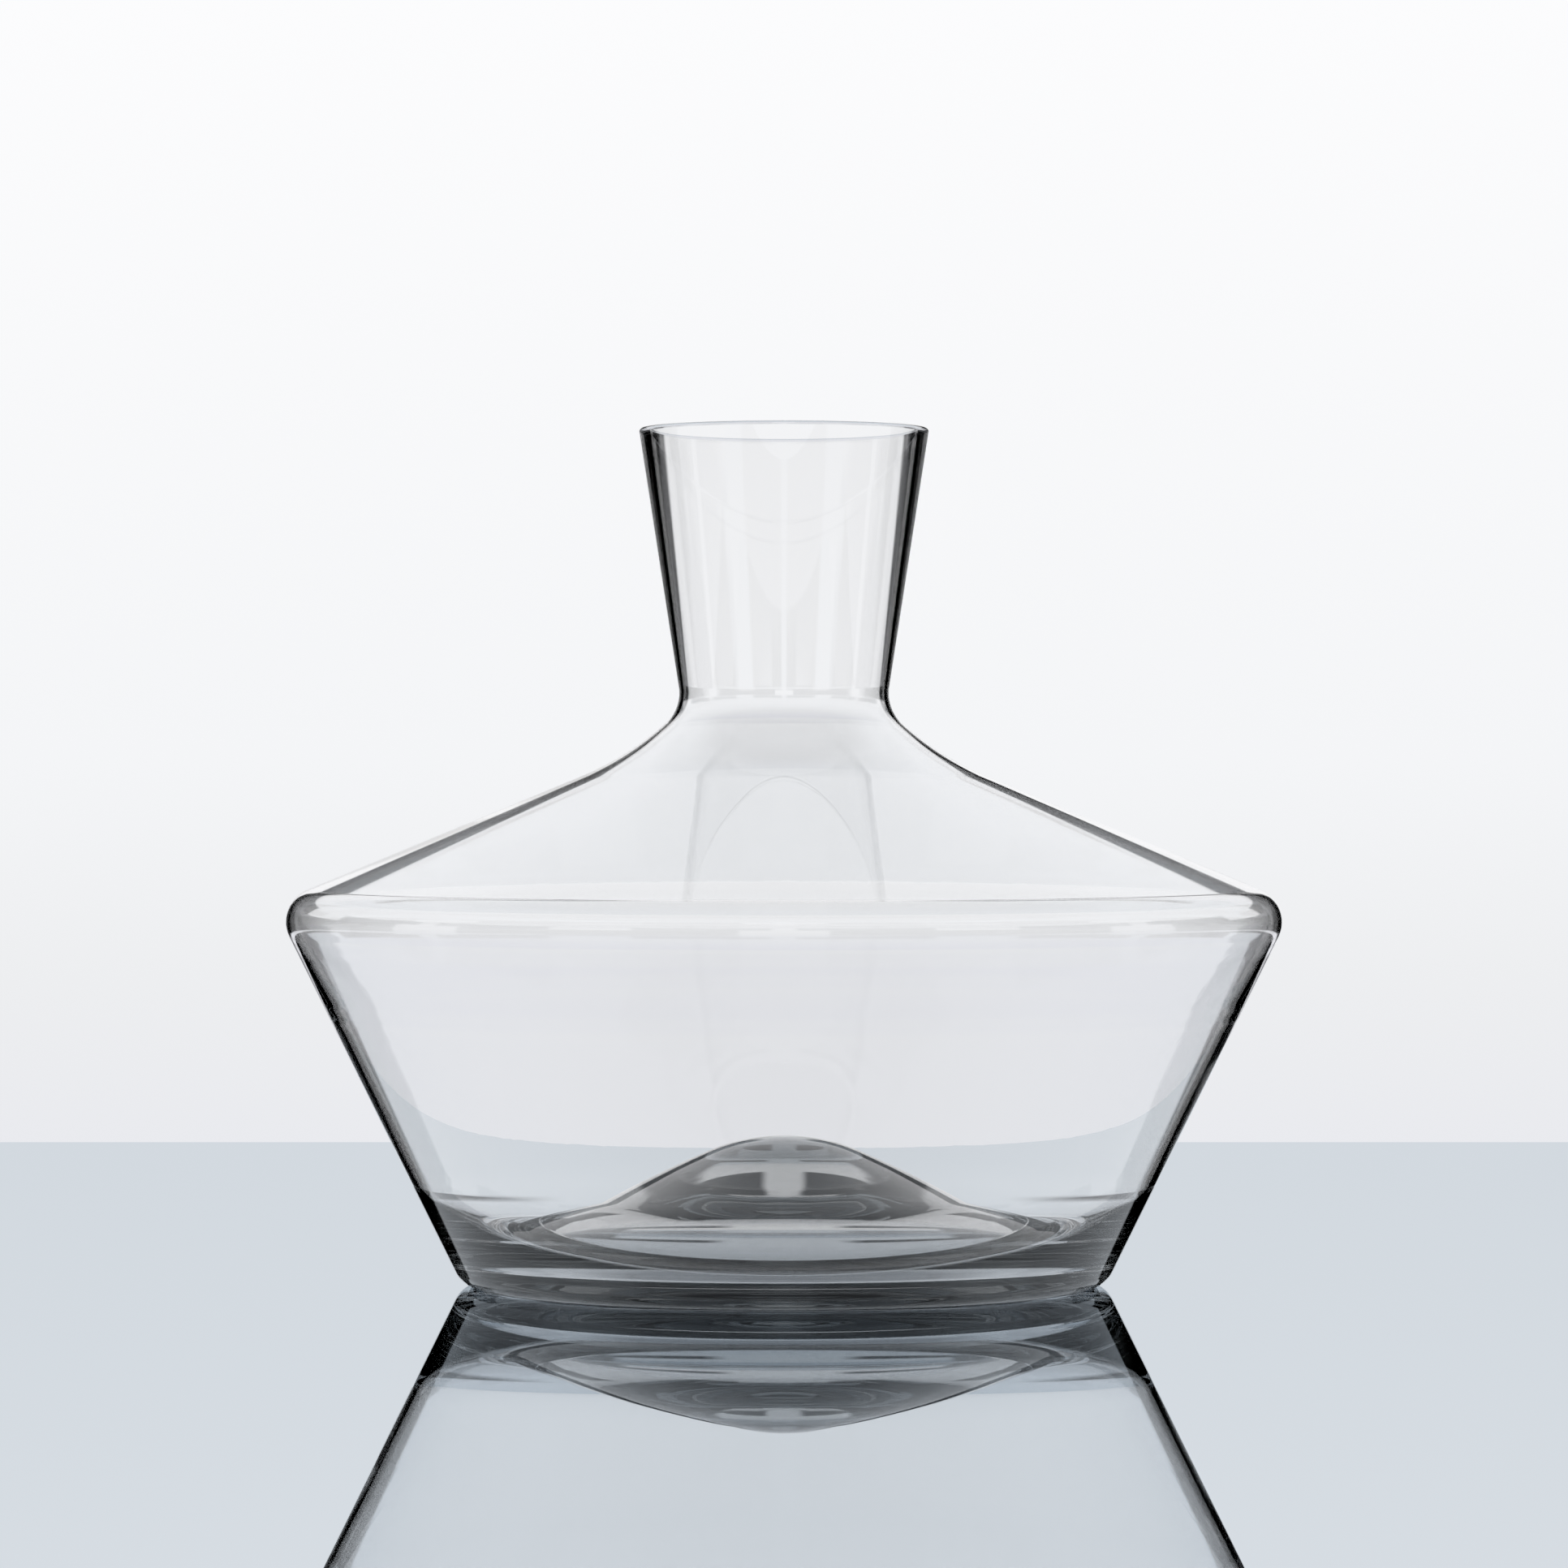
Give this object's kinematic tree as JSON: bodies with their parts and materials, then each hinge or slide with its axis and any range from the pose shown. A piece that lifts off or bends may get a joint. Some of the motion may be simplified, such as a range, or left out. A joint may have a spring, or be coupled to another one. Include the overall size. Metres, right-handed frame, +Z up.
{
  "type": "wine decanter",
  "caption": "Wide one-piece clear glass decanter: flared neck, conical shoulder, rounded belly, tapering bowl and a heavy heel around a domed punt.",
  "frame": {"origin": "centre of the base, in the plane of the ring that the decanter stands on", "axes": "+Z up, along the axis of symmetry; X and Y are equivalent"},
  "size_m": [0.23, 0.23, 0.198],
  "materials": {
    "glass": "clear, fire-polished"
  },
  "bodies": {
    "root": {"lip": "glass", "neck": "glass", "throat": "glass", "shoulder": "glass", "belly": "glass", "bowl": "glass", "heel": "glass", "punt": "glass"}
  },
  "joints": []
}
